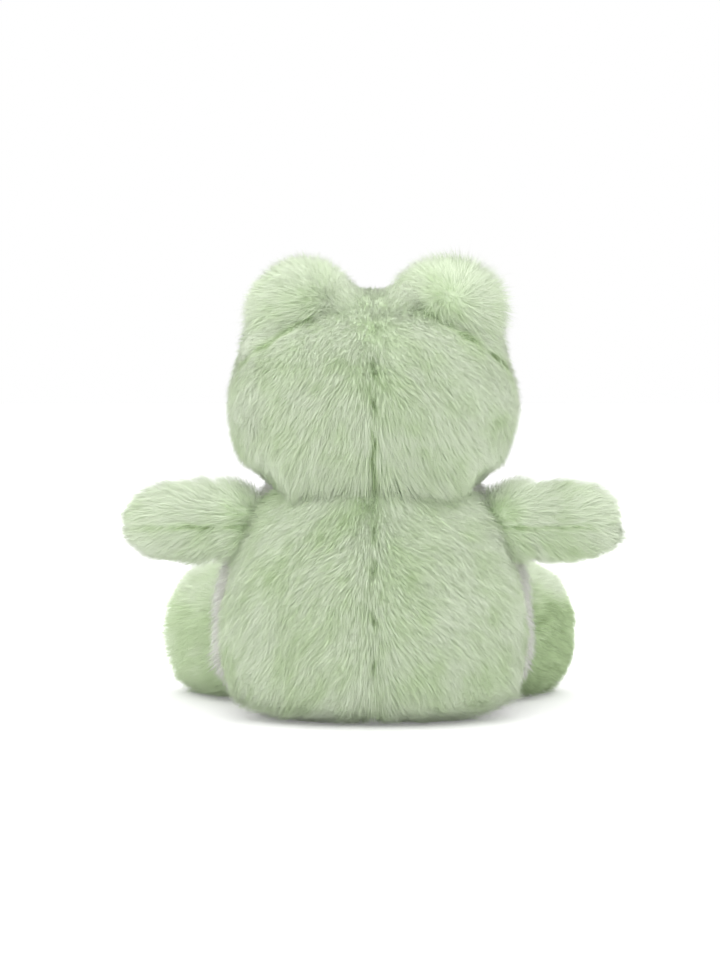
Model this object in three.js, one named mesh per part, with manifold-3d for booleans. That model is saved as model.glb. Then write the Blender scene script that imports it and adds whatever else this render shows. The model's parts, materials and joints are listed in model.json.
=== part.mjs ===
// A seated plush frog, in millimetres: +Z is up, the frog faces -Y and its left side is +X.
// The origin lies in the middle of the seat, on the surface that the frog sits on.
// Each sewn panel is a shell as thick as its knit backing with the pile lying on it, and the
// stuffing inside is a solid of its own. The head, arms and legs turn in dished seats.
import * as THREE from "three";
import { mergeVertices } from "three/addons/utils/BufferGeometryUtils.js";
import Module from "manifold-3d";

const wasm = await Module();
wasm.setup();

// Shared sizes
const clearance = 0.35; // between pieces that touch
const sweepGap = 0.35; // more room for the torso where a limb only passes it
const pileWall = 8; // a panel's knit backing with its pile
const settle = 0.5; // how far the stuffed forms are pressed flat on the surface below
const trimSide = 600; // side of the blocks that trim the forms
const weldDistance = 0.001;

// Torso: a pear, widest near the seat
const torso = {
  halfWidth: 81,
  backDepth: 62,
  bellyDepth: 68,
  crownHeight: 103, // from the widest level to the crown, which the head's seat cuts away
  baseDepth: 42.5, // from the widest level to the base
  crownFullness: 2,
  baseFullness: 3.1,
  sideSeamY: 10, // the belly panel meets the back panels here
};
const torsoLevel = torso.baseDepth - settle; // height of the widest level

// Head: round about the nodding axis, so its underside keeps to its seat
const head = {
  halfWidth: 73,
  radius: 58,
  fullness: 2.7,
  sunk: 40, // into the torso's crown
  setForward: 2,
  sideSeamY: -8, // the face panel meets the back panels here
};
const headUnderside = torsoLevel + torso.crownHeight - head.sunk;
const headCentre = new THREE.Vector3(0, -head.setForward, headUnderside + head.radius);

// The centre-back seam draws the torso and the head in
const backSeam = { depth: 3, spread: 9 };

// Eye bumps, one on each side of the crown, tilted outwards
const bump = {
  halfWidth: 27,
  halfHeight: 25,
  halfDepth: 31,
  fullness: 2.1,
  inFromSide: 36.5, // from the head's side to the bump's centre
  setBack: 4, // from the head's centre
  tilt: 30, // degrees
};

// Eyes: a domed button on a shank, held inside the bump by a washer
const eye = {
  radius: 8,
  domeHeight: 5,
  rim: 1.2,
  rise: 14, // above the bump's centre
  sunk: 2.5, // below the tips of the pile
  shankRadius: 2.2,
  shankLength: 14,
  washerRadius: 4.5,
  washerThickness: 1.4,
  washerGap: 0.3, // round the shank
  turnOut: 14, // degrees
};

// Arms: straight out to the sides, sewn along the front and back
const arm = {
  halfHeight: 21,
  halfDepth: 20,
  tipReach: 37,
  rootReach: 34,
  tipFullness: 2.5,
  rootFullness: 2,
  ballRadius: 21,
  ballHalfDepth: 20,
  ballToMiddle: 16,
  beyondSide: 6.3, // from the torso's side to the ball's centre
  belowHead: 5, // from the head's underside
  setBack: 6,
  lowest: -20, // degrees from rest
  highest: 55,
  sweepShares: [1], // of the highest angle, where the torso's room is cut from the limb
  direction: 0, // degrees forward of straight out
};

// Legs: stub legs that splay forward and rest on the surface
const leg = {
  halfHeight: 37,
  halfDepth: 36,
  tipReach: 36,
  rootReach: 62,
  tipFullness: 2.6,
  rootFullness: 2.6,
  underFullness: 3, // of the half that lies on the surface
  ballRadius: 33,
  ballHalfDepth: 31,
  ballToMiddle: 38,
  inFromSide: 22.5, // from the torso's side to the ball's centre
  inFromFront: 7.5, // from the front of the belly
  lowest: -12, // degrees from rest
  highest: 35,
  sweepShares: [0.85, 0.94, 1],
  direction: 65, // degrees forward of straight out
};

// Pellet bag that weighs down the seat
const pelletBag = {
  halfWidth: 46,
  halfDepth: 36,
  halfHeight: 17,
  fullness: 2.4,
  setForward: 4,
};

// How finely the forms are faceted
const bodyFacets = { ringCount: 14, columnCount: 28 };
const limbFacets = { ringCount: 8, columnCount: 16 };
const liningFacets = { ringCount: 6, columnCount: 12 };
const seatFacets = { ringCount: 9, columnCount: 20 };
const bagFacets = { ringCount: 6, columnCount: 12 };
const eyeFacets = { ringCount: 4, columnCount: 20 };

// Materials
const mintPlush = { color: 0xbbd0ae, roughness: 0.95, metalness: 0 };
const creamPlush = { color: 0xdfe2d6, roughness: 0.95, metalness: 0 };
const stuffing = { color: 0xf3f3ee, roughness: 1, metalness: 0 };
const bagCloth = { color: 0xd8d2c4, roughness: 0.9, metalness: 0 };
const blackGloss = { color: 0x0c0c0e, roughness: 0.12, metalness: 0 };
const clearNylon = { color: 0xe6e6e2, roughness: 0.45, metalness: 0 };

const frog = new THREE.Group();

// A closed geometry as a solid that can be cut and joined.
function solidOf(geometry) {
  const bare = geometry.clone();
  bare.deleteAttribute("normal");
  bare.deleteAttribute("uv");
  const merged = mergeVertices(bare, weldDistance);
  return new wasm.Manifold(
    new wasm.Mesh({
      numProp: 3,
      vertProperties: merged.attributes.position.array,
      triVerts: new Uint32Array(merged.index.array),
    }),
  );
}

// Names a finished solid, gives it its material and adds it to the frog.
function addPiece(name, solid, finish) {
  const { vertProperties, triVerts } = solid.getMesh();
  const geometry = new THREE.BufferGeometry();
  geometry.setAttribute("position", new THREE.BufferAttribute(vertProperties, 3));
  geometry.setIndex(new THREE.BufferAttribute(triVerts, 1));
  geometry.computeVertexNormals();
  const mesh = new THREE.Mesh(geometry, new THREE.MeshStandardMaterial(finish));
  mesh.name = name;
  frog.add(mesh);
}

// A stuffed form about its own Z axis, on rings from the root pole to the tip pole. Each half swells
// as a superellipse: fullness 2 is round and more is fuller. The rings are round, but the half of
// each towards -X has its own fullness. A positive grow moves the surface out.
function stuffedForm(form, { ringCount, columnCount }, grow = 0) {
  const points = [];
  const faces = [];
  const ringPoint = (share, angle) => {
    const towardsTip = share >= 0;
    const reach = (towardsTip ? form.tipReach : form.rootReach) + grow;
    const fullness = towardsTip ? form.tipFullness : form.rootFullness;
    const width = Math.pow(1 - Math.pow(Math.abs(share), fullness), 1 / fullness);
    const depth = (Math.sin(angle) > 0 ? form.backDepth : form.frontDepth) + grow;
    const ringFullness = Math.cos(angle) < 0 ? form.underFullness ?? 2 : 2;
    const fuller = (value) => Math.sign(value) * Math.pow(Math.abs(value), 2 / ringFullness);
    return [
      (form.halfWidth + grow) * width * fuller(Math.cos(angle)),
      depth * width * fuller(Math.sin(angle)),
      reach * share,
    ];
  };
  points.push(...ringPoint(-1, 0));
  for (let ring = 1; ring < ringCount; ring++) {
    const share = Math.sin(Math.PI * (ring / ringCount - 1 / 2));
    for (let column = 0; column < columnCount; column++)
      points.push(...ringPoint(share, (2 * Math.PI * column) / columnCount + Math.PI / 2));
  }
  points.push(...ringPoint(1, 0));
  const tipPole = points.length / 3 - 1;
  for (let column = 0; column < columnCount; column++) {
    const next = (column + 1) % columnCount;
    faces.push(0, 1 + next, 1 + column);
    for (let ring = 0; ring < ringCount - 2; ring++) {
      const low = 1 + ring * columnCount;
      const high = low + columnCount;
      faces.push(low + column, low + next, high + next);
      faces.push(low + column, high + next, high + column);
    }
    const last = 1 + (ringCount - 2) * columnCount;
    faces.push(last + column, last + next, tipPole);
  }
  const geometry = new THREE.BufferGeometry();
  geometry.setAttribute("position", new THREE.Float32BufferAttribute(points, 3));
  geometry.setIndex(faces);
  return geometry;
}

// Draws a form in along the middle of its back, as the centre seam does.
function drawInBackSeam(geometry, deepest) {
  const position = geometry.attributes.position;
  for (let i = 0; i < position.count; i++) {
    const towardsBack = Math.max(0, position.getY(i) / deepest);
    const nearSeam = Math.exp(-Math.pow(position.getX(i) / backSeam.spread, 2));
    position.setY(i, position.getY(i) - backSeam.depth * nearSeam * towardsBack);
  }
  return geometry;
}

// A block that covers everything on one side of a plane square to an axis.
function blockBeyond(axis, at, sign) {
  const centre = new THREE.Vector3();
  centre.setComponent(axis, at + (sign * trimSide) / 2);
  const block = new THREE.BoxGeometry(trimSide, trimSide, trimSide);
  return solidOf(block.translate(centre.x, centre.y, centre.z));
}

const aboveFloor = blockBeyond(2, 0, 1);

// Torso

function torsoForm(facets, grow = 0) {
  const form = {
    halfWidth: torso.halfWidth,
    backDepth: torso.backDepth,
    frontDepth: torso.bellyDepth,
    tipReach: torso.crownHeight,
    rootReach: torso.baseDepth,
    tipFullness: torso.crownFullness,
    rootFullness: torso.baseFullness,
  };
  return stuffedForm(form, facets, grow).translate(0, 0, torsoLevel);
}

// The torso's half width at a height above its widest level.
function torsoHalfWidthAt(height) {
  const share = (height - torsoLevel) / torso.crownHeight;
  return torso.halfWidth * Math.pow(1 - Math.pow(share, torso.crownFullness), 1 / torso.crownFullness);
}

// Head

// The head's radius round the nodding axis, at a distance from its middle.
function headRadiusAt(across) {
  const share = across / head.halfWidth;
  return head.radius * Math.pow(1 - Math.pow(share, head.fullness), 1 / head.fullness);
}

function headForm(facets, grow = 0) {
  const form = {
    halfWidth: head.radius,
    backDepth: head.radius,
    frontDepth: head.radius,
    tipReach: head.halfWidth,
    rootReach: head.halfWidth,
    tipFullness: head.fullness,
    rootFullness: head.fullness,
  };
  return stuffedForm(form, facets, grow)
    .rotateY(Math.PI / 2)
    .translate(headCentre.x, headCentre.y, headCentre.z);
}

// Limbs

// The place of a limb on the left (+1) or right (-1), from its ball's centre.
function limbPlace(limb, side, [alongX, alongY, alongZ]) {
  const pivot = new THREE.Vector3(side * alongX, alongY, alongZ);
  const forward = THREE.MathUtils.degToRad(limb.direction);
  const outwards = new THREE.Vector3(side * Math.cos(forward), -Math.sin(forward), 0);
  const up = new THREE.Vector3(0, 0, 1);
  const across = new THREE.Vector3().crossVectors(up, outwards);
  const frame = new THREE.Matrix4().makeBasis(up, across.clone().negate(), outwards);
  if (frame.determinant() < 0) frame.makeBasis(up, across, outwards);
  frame.setPosition(pivot);
  // Turning by a positive angle about this axis lifts the limb's tip.
  const liftAxis = new THREE.Vector3().crossVectors(outwards, up);
  return { pivot, outwards, frame, liftAxis };
}

// A limb swells to its middle, tapers to its root and ends there in a ball.
function limbForm(limb, place, facets, grow = 0) {
  const body = {
    halfWidth: limb.halfHeight,
    backDepth: limb.halfDepth,
    frontDepth: limb.halfDepth,
    tipReach: limb.tipReach,
    rootReach: limb.rootReach,
    tipFullness: limb.tipFullness,
    rootFullness: limb.rootFullness,
    underFullness: limb.underFullness,
  };
  const swelling = stuffedForm(body, facets, grow)
    .translate(0, 0, limb.ballToMiddle)
    .applyMatrix4(place.frame);
  return solidOf(swelling).add(limbBall(limb, place, facets, grow));
}

// The ball at a limb's root is round about the axis that the limb is lifted on.
function limbBall(limb, place, facets, grow = 0) {
  const ball = {
    halfWidth: limb.ballRadius,
    backDepth: limb.ballRadius,
    frontDepth: limb.ballRadius,
    tipReach: limb.ballHalfDepth,
    rootReach: limb.ballHalfDepth,
    tipFullness: 2,
    rootFullness: 2,
  };
  const geometry = stuffedForm(ball, facets, grow)
    .rotateX(Math.PI / 2)
    .applyMatrix4(place.frame);
  return solidOf(geometry);
}

// The room the torso takes up, as a limb sees it on its way from its lowest to its highest angle.
function torsoPast(limb, place) {
  const seat = limbSeat(limb, place);
  let swept = solidOf(torsoForm(bodyFacets, clearance)).subtract(seat);
  const passing = solidOf(torsoForm(bodyFacets, clearance + sweepGap)).subtract(seat);
  for (const degrees of [limb.lowest, ...limb.sweepShares.map((share) => share * limb.highest)]) {
    const turn = new THREE.Matrix4()
      .makeTranslation(place.pivot)
      .multiply(
        new THREE.Matrix4().makeRotationAxis(place.liftAxis, THREE.MathUtils.degToRad(-degrees)),
      )
      .multiply(new THREE.Matrix4().makeTranslation(place.pivot.clone().negate()));
    swept = swept.add(passing.transform(turn.elements));
  }
  return swept;
}

const armHeight = headUnderside - arm.belowHead;
const shoulder = [torsoHalfWidthAt(armHeight) + arm.beyondSide, arm.setBack, armHeight];
const armPlaces = [1, -1].map((side) => limbPlace(arm, side, shoulder));

const hip = [
  torso.halfWidth - leg.inFromSide,
  leg.inFromFront - torso.bellyDepth,
  leg.halfHeight - settle,
];
const legPlaces = [1, -1].map((side) => limbPlace(leg, side, hip));

// How far a round seat's facets are set out, so that even their middles clear what turns in it.
function seatGrow(radius, { columnCount, ringCount }) {
  const acrossColumns = 1 / Math.cos(Math.PI / columnCount);
  const acrossRings = 1 / Math.cos(Math.PI / (2 * ringCount));
  return clearance + radius * (acrossColumns * acrossRings - 1);
}

function limbSeat(limb, place) {
  return limbBall(limb, place, seatFacets, seatGrow(limb.ballRadius, seatFacets));
}

// The head turns about its own axis only, so its rings stay in line with the seat's.
function headSeat() {
  const alongRings = { ...bodyFacets, ringCount: Infinity };
  return solidOf(headForm(bodyFacets, seatGrow(head.radius, alongRings)));
}

// The seats that the head and the limbs' balls take out of the torso.
function torsoSeats() {
  let seats = headSeat();
  for (const place of armPlaces) seats = seats.add(limbSeat(arm, place));
  for (const place of legPlaces) seats = seats.add(limbSeat(leg, place));
  return seats;
}

function makeTorso() {
  const outer = solidOf(drawInBackSeam(torsoForm(bodyFacets), torso.backDepth));
  const lining = (grow) => solidOf(torsoForm(liningFacets, grow));
  const seats = torsoSeats();
  const cover = outer.subtract(lining(-pileWall)).intersect(aboveFloor).subtract(seats);

  const halfGap = clearance / 2;
  const belly = cover.intersect(blockBeyond(1, torso.sideSeamY - halfGap, -1));
  const back = cover.intersect(blockBeyond(1, torso.sideSeamY + halfGap, 1));
  addPiece("belly_panel", belly, creamPlush);
  addPiece("torso_back_left", back.intersect(blockBeyond(0, halfGap, 1)), mintPlush);
  addPiece("torso_back_right", back.intersect(blockBeyond(0, -halfGap, -1)), mintPlush);

  const room = lining(-pileWall - clearance).subtract(seats);
  addPiece("torso_fill", room.subtract(pelletBagForm(clearance)), stuffing);
  addPiece("pellet_bag", pelletBagForm(0).intersect(room), bagCloth);
}

// The bag lies on the bottom panel, under the stuffing.
function pelletBagForm(grow) {
  const form = {
    halfWidth: pelletBag.halfWidth,
    backDepth: pelletBag.halfDepth,
    frontDepth: pelletBag.halfDepth,
    tipReach: pelletBag.halfHeight,
    rootReach: pelletBag.halfHeight,
    tipFullness: pelletBag.fullness,
    rootFullness: pelletBag.fullness,
  };
  return solidOf(
    stuffedForm(form, bagFacets, grow).translate(0, -pelletBag.setForward, pileWall),
  );
}

function makeHead() {
  const outer = solidOf(drawInBackSeam(headForm(bodyFacets), head.radius));
  const cover = outer.subtract(solidOf(headForm(liningFacets, -pileWall)));
  const halfGap = clearance / 2;
  const back = cover.intersect(blockBeyond(1, head.sideSeamY + halfGap, 1));
  addPiece("face_panel", cover.intersect(blockBeyond(1, head.sideSeamY - halfGap, -1)), mintPlush);
  addPiece("head_back_left", back.intersect(blockBeyond(0, halfGap, 1)), mintPlush);
  addPiece("head_back_right", back.intersect(blockBeyond(0, -halfGap, -1)), mintPlush);
  addPiece("head_fill", solidOf(headForm(liningFacets, -pileWall - clearance)), stuffing);
}

// Eye bumps and eyes

// A bump's centre, on the left (+1) or right (-1).
function bumpCentre(side) {
  return new THREE.Vector3(
    side * (head.halfWidth - bump.inFromSide),
    headCentre.y + bump.setBack,
    bumpLevel,
  );
}

function bumpPlace(side) {
  return new THREE.Matrix4()
    .makeTranslation(bumpCentre(side))
    .multiply(new THREE.Matrix4().makeRotationY(THREE.MathUtils.degToRad(side * bump.tilt)));
}

function bumpForm(side, facets, grow = 0) {
  const form = {
    halfWidth: bump.halfWidth,
    backDepth: bump.halfDepth,
    frontDepth: bump.halfDepth,
    tipReach: bump.halfHeight,
    rootReach: bump.halfHeight,
    tipFullness: bump.fullness,
    rootFullness: bump.fullness,
  };
  return solidOf(stuffedForm(form, facets, grow).applyMatrix4(bumpPlace(side)));
}

// A turned profile, from points [radius, distance outwards], set on an eye's line of sight.
function turnedOnEyeLine(side, profile) {
  const points = profile.map(([radius, outwards]) => new THREE.Vector2(radius, outwards));
  const up = new THREE.Vector3(0, 0, 1);
  const direction = new THREE.Vector3(0, -1, 0).applyAxisAngle(up, side * eyeTurn);
  const turn = new THREE.Quaternion().setFromUnitVectors(new THREE.Vector3(0, 1, 0), direction);
  const centre = bumpCentre(side);
  return solidOf(
    new THREE.LatheGeometry(points, eyeFacets.columnCount)
      .applyQuaternion(turn)
      .translate(centre.x, centre.y, centre.z + eye.rise),
  );
}

// How far the bump's surface, set in by some depth, reaches forward at the eye's height.
function bumpReach(inset) {
  const risen = eye.rise / (bump.halfHeight - inset);
  const share = Math.pow(1 - Math.pow(risen, bump.fullness), 1 / bump.fullness);
  return (bump.halfDepth - inset) * share;
}

const eyeTurn = THREE.MathUtils.degToRad(eye.turnOut);

// Distances along the eye's line, outwards from above the bump's centre
const eyeBack = bumpReach(0) - eye.sunk;
const washerFront = bumpReach(pileWall) - clearance;
const washerBack = washerFront - eye.washerThickness;
const shankEnd = eyeBack - eye.shankLength;
const washerBore = eye.shankRadius + eye.washerGap;

// Each bump is sewn on as low as its washer allows, which lies just over the head's cover.
const washerAcross =
  head.halfWidth - bump.inFromSide + washerBack * Math.sin(eyeTurn) - eye.washerRadius / 2;
const washerForward = washerBack * Math.cos(eyeTurn) - bump.setBack;
const headUnderWasher = headCentre.z + Math.sqrt(headRadiusAt(washerAcross) ** 2 - washerForward ** 2);
const bumpLevel = headUnderWasher + clearance + eye.washerRadius - eye.rise;

function eyeProfile() {
  const dome = [];
  for (let ring = 0; ring < eyeFacets.ringCount; ring++) {
    const angle = (Math.PI / 2) * (ring / eyeFacets.ringCount);
    dome.push([eye.radius * Math.cos(angle), eyeBack + eye.rim + eye.domeHeight * Math.sin(angle)]);
  }
  return [
    [0, shankEnd],
    [eye.shankRadius, shankEnd],
    [eye.shankRadius, eyeBack],
    [eye.radius, eyeBack],
    ...dome,
    [0, eyeBack + eye.rim + eye.domeHeight],
  ];
}

// The room round the eye: a pocket in the pile, the shank's hole and the washer's seat.
function eyeRoom(side) {
  const pocket = eye.radius + clearance;
  const hole = eye.shankRadius + clearance;
  const seat = eye.washerRadius + clearance;
  return turnedOnEyeLine(side, [
    [0, shankEnd - clearance],
    [hole, shankEnd - clearance],
    [hole, washerBack - clearance],
    [seat, washerBack - clearance],
    [seat, washerFront + clearance],
    [hole, washerFront + clearance],
    [hole, eyeBack - clearance],
    [pocket, eyeBack - clearance],
    [pocket, bump.halfDepth + eye.domeHeight],
    [0, bump.halfDepth + eye.domeHeight],
  ]);
}

function makeEyeBump(name, side) {
  const onHead = solidOf(headForm(bodyFacets, clearance)).add(eyeRoom(side));
  const outer = bumpForm(side, limbFacets);
  const lining = bumpForm(side, liningFacets, -pileWall);
  addPiece(name + "_eye_bump", outer.subtract(lining).subtract(onHead), mintPlush);
  const room = bumpForm(side, liningFacets, -pileWall - clearance);
  addPiece(name + "_eye_bump_fill", room.subtract(onHead), stuffing);
  addPiece(name + "_eye", turnedOnEyeLine(side, eyeProfile()), blackGloss);
  const washer = turnedOnEyeLine(side, [
    [washerBore, washerBack],
    [eye.washerRadius, washerBack],
    [eye.washerRadius, washerFront],
    [washerBore, washerFront],
    [washerBore, washerBack],
  ]);
  addPiece(name + "_eye_washer", washer, clearNylon);
}

// An arm or a leg: two sewn panels round their stuffing, cut clear of the torso at every angle.
function makeLimb(limb, place, names, seamNormal) {
  const keepOut = torsoPast(limb, place);
  const outer = limbForm(limb, place, limbFacets).subtract(keepOut).intersect(aboveFloor);
  const lining = (grow) => limbForm(limb, place, liningFacets, grow).subtract(keepOut);
  const cover = outer.subtract(lining(-pileWall));
  const seamBlock = (sign) => {
    const block = new THREE.BoxGeometry(trimSide, trimSide, trimSide)
      .translate(0, 0, (sign * (trimSide + clearance)) / 2)
      .applyQuaternion(
        new THREE.Quaternion().setFromUnitVectors(new THREE.Vector3(0, 0, 1), seamNormal),
      )
      .translate(place.pivot.x, place.pivot.y, place.pivot.z);
    return solidOf(block);
  };
  addPiece(names[0], cover.intersect(seamBlock(1)), mintPlush);
  addPiece(names[1], cover.intersect(seamBlock(-1)), mintPlush);
  addPiece(names[2], lining(-pileWall - clearance), stuffing);
}

makeTorso();
makeHead();
["left", "right"].forEach((name, index) => {
  const side = index === 0 ? 1 : -1;
  makeEyeBump(name, side);
  const armNames = ["_arm_upper_panel", "_arm_lower_panel", "_arm_fill"];
  makeLimb(arm, armPlaces[index], armNames.map((end) => name + end), new THREE.Vector3(0, 0, 1));
  const legNames = ["_leg_outer_panel", "_leg_inner_panel", "_leg_fill"];
  const legSide = legPlaces[index].liftAxis.clone().multiplyScalar(-side);
  makeLimb(leg, legPlaces[index], legNames.map((end) => name + end), legSide);
});

export default frog;
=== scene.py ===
"""The looks of a seated plush frog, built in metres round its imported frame.

The frog faces -Y, +Z is up and its own left side is +X. Each plush panel is one piece: a stuffed
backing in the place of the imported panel, with every strand of its pile rooted on it.
"""

import json
import math

import bpy
import numpy as np
from bpy.props import FloatProperty, FloatVectorProperty, PointerProperty
from mathutils import Matrix, Vector
from mathutils.kdtree import KDTree

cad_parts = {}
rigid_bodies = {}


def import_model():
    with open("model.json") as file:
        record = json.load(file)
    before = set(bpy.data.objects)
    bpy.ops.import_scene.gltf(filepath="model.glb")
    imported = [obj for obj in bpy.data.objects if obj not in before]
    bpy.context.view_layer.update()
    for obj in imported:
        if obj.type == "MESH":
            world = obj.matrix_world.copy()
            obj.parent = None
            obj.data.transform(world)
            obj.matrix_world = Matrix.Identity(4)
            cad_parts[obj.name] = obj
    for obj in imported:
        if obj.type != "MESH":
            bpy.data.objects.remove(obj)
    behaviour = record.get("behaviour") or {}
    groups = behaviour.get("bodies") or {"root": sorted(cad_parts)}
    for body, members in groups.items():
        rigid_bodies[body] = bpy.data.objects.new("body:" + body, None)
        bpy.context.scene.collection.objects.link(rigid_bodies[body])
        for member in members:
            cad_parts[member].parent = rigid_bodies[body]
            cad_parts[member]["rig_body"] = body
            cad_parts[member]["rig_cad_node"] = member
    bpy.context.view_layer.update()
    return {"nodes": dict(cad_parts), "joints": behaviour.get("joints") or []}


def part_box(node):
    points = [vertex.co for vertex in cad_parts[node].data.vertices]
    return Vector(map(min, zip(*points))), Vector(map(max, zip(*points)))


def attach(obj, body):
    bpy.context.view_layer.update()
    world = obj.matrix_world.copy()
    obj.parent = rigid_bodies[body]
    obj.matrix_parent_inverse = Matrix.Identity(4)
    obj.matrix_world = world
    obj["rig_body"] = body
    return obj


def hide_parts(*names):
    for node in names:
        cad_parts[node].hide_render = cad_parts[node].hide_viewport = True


bl_info = {
    "name": "Plush frog",
    "version": (1, 0, 0),
    "blender": (4, 5, 0),
    "location": "3D View > Sidebar > Plush frog",
    "description": "Sews, stuffs and lights a seated long-pile plush frog",
    "category": "Object",
}

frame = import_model()
JOINTS = {joint["name"]: joint for joint in frame["joints"]}
LEFT, RIGHT = 1, -1
SIDES = {"left": LEFT, "right": RIGHT}
LIMBS = [(limb, side_name) for limb in ("arm", "leg") for side_name in SIDES]
UP = np.array((0.0, 0.0, 1.0))
BAKE_MAP = "OFBake"

# How full a form is: round, or plump like a pad or a pouch
ROUND, PLUMP = 2.0, 2.4
# Where the head turns, and where the pile of the face parts
HEAD_AXIS = np.array(JOINTS["head_nod"]["pos_m"])
BROW = HEAD_AXIS + (0, -0.040, 0.044)
# Both ends of the seam that sews an eye bump to the back of the head, across and up
BUMP_CREASE = ((0.027, 0.2065), (0.066, 0.182))
# The heights of the stitches that show on the centre-back seam
STITCH_LEVELS = (0.197, 0.180, 0.165, 0.100, 0.082, 0.058, 0.035, 0.004)
# How deep a neighbour must cover a place before its pile is left out, and a seat is cut in a backing
COVER_DEPTH, SEAT_DEPTH = 0.005, 0.004
# How deep the stuffing lies, and the gaps round what is seated in it and round the pellet bag
STUFFING_DEPTH, SEAT_GAP, BAG_GAP = 0.0095, 0.0005, 0.0008
# Below this height the pile is pressed outwards by the ground
RESTING_HEIGHT = 0.016
# The shortest strand, how far up it bends, and how many strands share a tuft
SHORTEST, BEND_SHARE, TUFT_STRANDS = 0.003, 0.48, 9
# How far a strand leans below and above its bend, in degrees
LOW_LEAN, HIGH_LEAN = 38, 64
# How far up the bake map a strand's root, bend and tip lie
ROOT_SHARE, MIDDLE_SHARE, TIP_SHARE = 0.06, 0.5, 0.98


# Sizes and colours that a user would change

def length(name, description, default):
    """A length in metres."""
    return FloatProperty(name=name, description=description, default=default, unit="LENGTH", precision=4)


def share(name, description, default):
    """A plain number, such as a share or a fullness."""
    return FloatProperty(name=name, description=description, default=default, precision=3)


def angle(name, description, degrees):
    """An angle, given in degrees and kept in radians."""
    return FloatProperty(name=name, description=description, default=math.radians(degrees), subtype="ANGLE")


def power(name, description, default):
    """A lamp's power in watts."""
    return FloatProperty(name=name, description=description, default=default, unit="POWER")


def colour(name, description, hexadecimal):
    """A colour as it is written on the screen, kept as scene linear."""
    parts = [int(hexadecimal[i:i + 2], 16) / 255 for i in (1, 3, 5)]
    linear = [p / 12.92 if p <= 0.04045 else ((p + 0.055) / 1.055) ** 2.4 for p in parts]
    return FloatVectorProperty(name=name, description=description, default=linear, subtype="COLOR")


class FrogTorsoSizes(bpy.types.PropertyGroup):
    half_width: length("Half width", "From the middle to the side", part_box("belly_panel")[1].x)
    belly_depth: length("Belly depth", "From the middle to the front", -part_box("belly_panel")[0].y)
    back_depth: length("Back depth", "From the middle to the back", 0.062)
    crown_height: length("Crown height", "From the widest level to the crown", 0.103)
    base_depth: length("Base depth", "From the widest level to the base", 0.0425)
    level: length("Widest level", "Height of the widest level", 0.042)
    crown_fullness: share("Crown fullness", "2 is round and more is fuller", 2.0)
    base_fullness: share("Base fullness", "2 is round and more is fuller", 3.1)
    side_seam: length("Side seam", "How far back the belly panel reaches", 0.010)


class FrogHeadSizes(bpy.types.PropertyGroup):
    half_width: length("Half width", "From the middle to the side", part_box("face_panel")[1].x)
    radius: length("Radius", "Round the nodding axis", 0.058)
    fullness: share("Fullness", "2 is round and more is fuller", 2.7)
    side_seam: length("Side seam", "How far back the face panel reaches", -0.008)


class FrogBumpSizes(bpy.types.PropertyGroup):
    half_width: length("Half width", "Across an eye bump", 0.027)
    half_height: length("Half height", "Along an eye bump", 0.025)
    half_depth: length("Half depth", "From front to back", 0.031)
    fullness: share("Fullness", "2 is round and more is fuller", 2.1)
    apart: length("From the middle", "From the middle of the head to a bump's centre", 0.0365)
    set_back: length("Set back", "From the head's axis to a bump's centre", 0.004)
    below_eye: length("Below the eye", "From the eye's centre down to a bump's centre", 0.014)
    tilt: angle("Tilt", "How far a bump leans outwards", 30)


class FrogArmSizes(bpy.types.PropertyGroup):
    half_height: length("Half height", "Across an arm, up and down", 0.021)
    half_depth: length("Half depth", "Across an arm, front to back", 0.020)
    tip_reach: length("Tip reach", "From the arm's middle to its tip", 0.037)
    root_reach: length("Root reach", "From the arm's middle to its root", 0.034)
    tip_fullness: share("Tip fullness", "2 is round and more is fuller", 2.5)
    root_fullness: share("Root fullness", "2 is round and more is fuller", 2.0)
    under_fullness: share("Under fullness", "Of the underside: 2 is round and more is fuller", 2.0)
    ball_radius: length("Ball radius", "The round root of the arm", 0.021)
    ball_half_depth: length("Ball half depth", "The round root, front to back", 0.020)
    ball_to_middle: length("Ball to middle", "From the root's centre to the arm's middle", 0.016)


class FrogLegSizes(bpy.types.PropertyGroup):
    half_height: length("Half height", "Across a leg, up and down", 0.037)
    half_depth: length("Half depth", "Across a leg, side to side", 0.036)
    tip_reach: length("Tip reach", "From the leg's middle to its tip", 0.036)
    root_reach: length("Root reach", "From the leg's middle to its root", 0.062)
    tip_fullness: share("Tip fullness", "2 is round and more is fuller", 2.6)
    root_fullness: share("Root fullness", "2 is round and more is fuller", 2.6)
    under_fullness: share("Under fullness", "Of the underside: 2 is round and more is fuller", 3.0)
    ball_radius: length("Ball radius", "The round root of the leg", 0.033)
    ball_half_depth: length("Ball half depth", "The round root, side to side", 0.031)
    ball_to_middle: length("Ball to middle", "From the root's centre to the leg's middle", 0.038)


class FrogPileSizes(bpy.types.PropertyGroup):
    inset: length("Inset", "From the packed surface down to the mint backing", 0.0048)
    short_inset: length("Short inset", "The same down to the face's and the belly's backing", 0.0030)
    long: length("Long pile", "Length of the mint tufts", 0.0102)
    short: length("Short pile", "Length of the belly's and face's tufts", 0.0085)
    hair_width: length("Hair width", "Width of one strand near its root", 0.00025)
    back_density: share("Back density", "Strands in a square millimetre at the back", 3.4)
    face_density: share("Face density", "Strands in a square millimetre of the face", 1.85)
    belly_density: share("Belly density", "Strands in a square millimetre of the belly", 1.35)
    bent_share: share("Bent share", "Strands with a bend in them", 0.12)


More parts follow.
